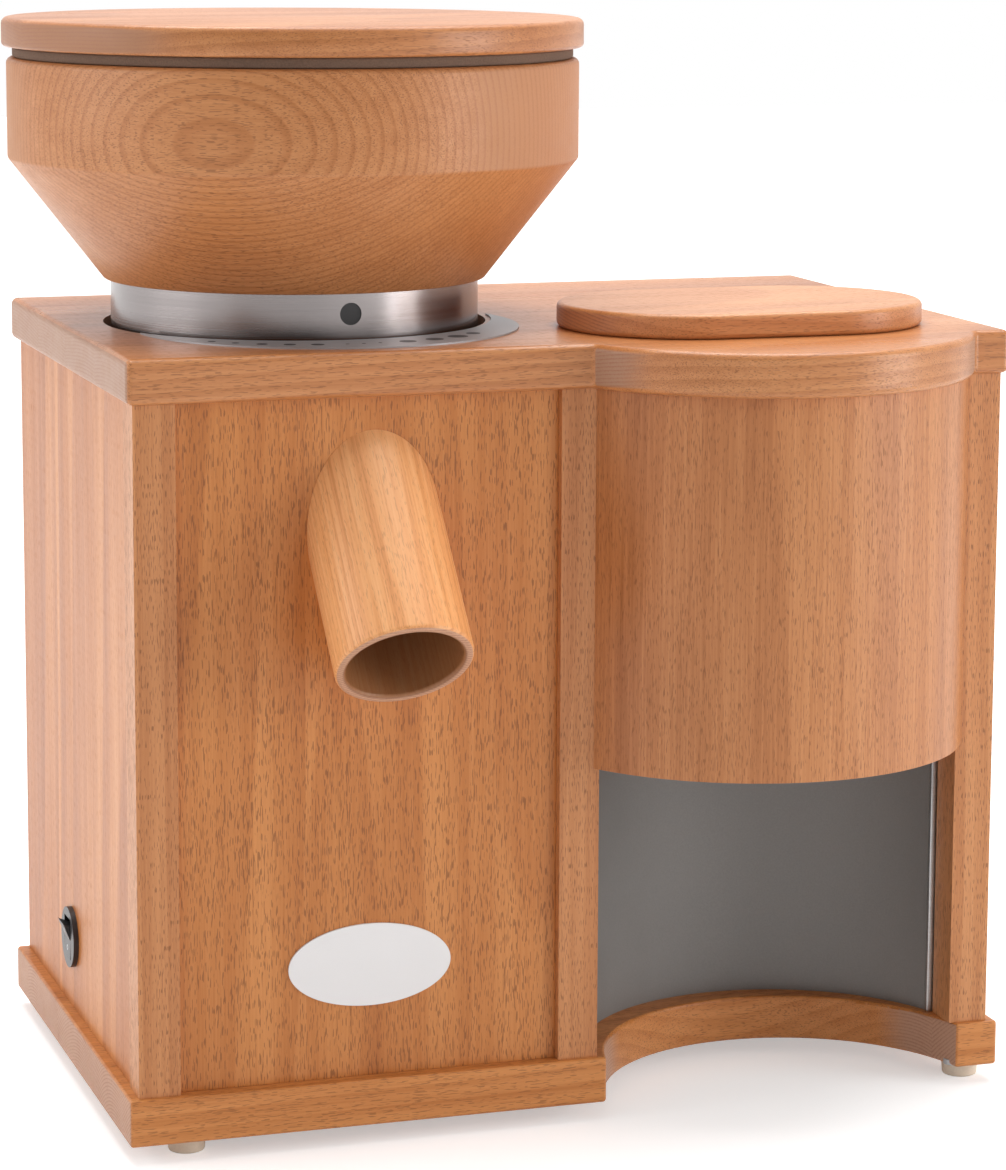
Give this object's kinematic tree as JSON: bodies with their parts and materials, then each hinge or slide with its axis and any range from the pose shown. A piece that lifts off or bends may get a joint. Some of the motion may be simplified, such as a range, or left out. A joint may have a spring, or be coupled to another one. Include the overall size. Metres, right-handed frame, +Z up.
{
  "type": "electric grain mill",
  "caption": "Wooden grain mill with a round hopper, stone mill and slanted flour spout, and a flaking mill with a curved front over a bowl bay.",
  "frame": {"origin": "centre of the bounding box on the surface that the feet stand on", "axes": "+X to the machine's right seen from the front, +Y to the back, +Z up"},
  "size_m": [0.351, 0.2612, 0.397],
  "materials": {
    "oiled_beech": "oiled satin beech",
    "turned_beech": "turned, oiled satin beech",
    "brushed_steel": "finely turned",
    "grey_sheet": "matte",
    "cast_aluminium": "as cast",
    "painted_casing": "satin",
    "core_steel": "plain",
    "copper_winding": "enamelled wire",
    "ceramic_stone": "rough",
    "roller_steel": "ground",
    "bronze_bush": "turned",
    "black_plastic": "satin",
    "white_plastic": "satin",
    "badge_silver": "satin, bare",
    "seal_felt": "felt",
    "cream_rubber": "matte",
    "screw_steel": "plain"
  },
  "bodies": {
    "housing": {"base_board": "oiled_beech", "posts": "oiled_beech", "panel_right": "oiled_beech", "divider": "oiled_beech", "panel_left": "oiled_beech", "panel_back": "oiled_beech", "panel_front": "oiled_beech", "curved_cover": "oiled_beech", "cover_battens": "oiled_beech", "bay_ceiling": "oiled_beech", "top_board": "oiled_beech", "spout": "turned_beech", "bay_shield": "grey_sheet", "scale_plate": "grey_sheet", "mount_plate": "grey_sheet", "flaker_funnel": "grey_sheet", "flake_guide": "grey_sheet", "milling_chamber": "cast_aluminium", "motor_shields": "cast_aluminium", "gear_case": "cast_aluminium", "flaker_gearbox": "cast_aluminium", "motor_casing": "painted_casing", "flaker_motor": "painted_casing", "run_capacitor": "painted_casing", "stator_core": "core_steel", "motor_bearings": "core_steel", "guide_pins": "core_steel", "roller_frame": "core_steel", "stator_windings": "copper_winding", "roller_bushes": "bronze_bush", "switch_bezel": "black_plastic", "cable_gland": "black_plastic", "terminal_box": "black_plastic", "flour_outlet": "white_plastic", "collar_slide_ring": "white_plastic", "badge_plate": "badge_silver", "feet": "cream_rubber", "base_screws": "screw_steel", "mill_screws": "screw_steel"},
    "hopper": {"hopper_bowl": "turned_beech", "hopper_collar": "brushed_steel", "collar_clip": "brushed_steel", "pointer_plug": "black_plastic", "bowl_screws": "screw_steel"},
    "upper_stone_unit": {"stone_carrier": "cast_aluminium", "upper_stone": "ceramic_stone"},
    "hopper_cover": {"hopper_lid": "turned_beech", "lid_seal": "seal_felt"},
    "mill_rotor": {"motor_shaft": "core_steel", "rotor_core": "core_steel", "lower_stone": "ceramic_stone", "stone_plate": "grey_sheet", "stone_nut": "brushed_steel", "motor_fan": "black_plastic"},
    "flaker_cover": {"flaker_lid": "oiled_beech"},
    "drive_roller_unit": {"drive_roller": "roller_steel", "drive_gear": "roller_steel"},
    "idle_roller_unit": {"idle_roller": "roller_steel", "idle_gear": "roller_steel"},
    "rocker": {"switch_rocker": "black_plastic"}
  },
  "joints": [
    {"name": "hopper_turn", "type": "hinge", "parent": "housing", "child": "hopper", "pos_m": [-0.06867, 0.02352, 0], "axis": [0, 0, 1], "range_deg": [-50, 50]},
    {"name": "stone_lift", "type": "slide", "parent": "housing", "child": "upper_stone_unit", "axis": [0, 0, 1], "range_m": [-0.00045, 0.00045]},
    {"name": "hopper_lid_lift", "type": "slide", "parent": "hopper", "child": "hopper_cover", "axis": [0, 0, 1], "range_m": [0, 0.08]},
    {"name": "mill_spin", "type": "hinge", "parent": "housing", "child": "mill_rotor", "pos_m": [-0.06867, 0.02352, 0], "axis": [0, 0, 1], "continuous": true},
    {"name": "flaker_lid_lift", "type": "slide", "parent": "housing", "child": "flaker_cover", "axis": [0, 0, 1], "range_m": [0, 0.035]},
    {"name": "drive_roller_spin", "type": "hinge", "parent": "housing", "child": "drive_roller_unit", "pos_m": [0.10908, -0.03518, 0.199], "axis": [0, 1, 0], "continuous": true},
    {"name": "idle_roller_spin", "type": "hinge", "parent": "housing", "child": "idle_roller_unit", "pos_m": [0.06457, -0.03518, 0.199], "axis": [0, 1, 0], "continuous": true},
    {"name": "rocker_tilt", "type": "hinge", "parent": "housing", "child": "rocker", "pos_m": [-0.15218, 0.03882, 0.051], "axis": [0, 1, 0], "range_deg": [0, 20]}
  ],
  "couplings": [
    {"joint": "stone_lift", "follows": "hopper_turn", "m_per_rad": 0.00047746},
    {"joint": "idle_roller_spin", "follows": "drive_roller_spin", "ratio": -1}
  ]
}
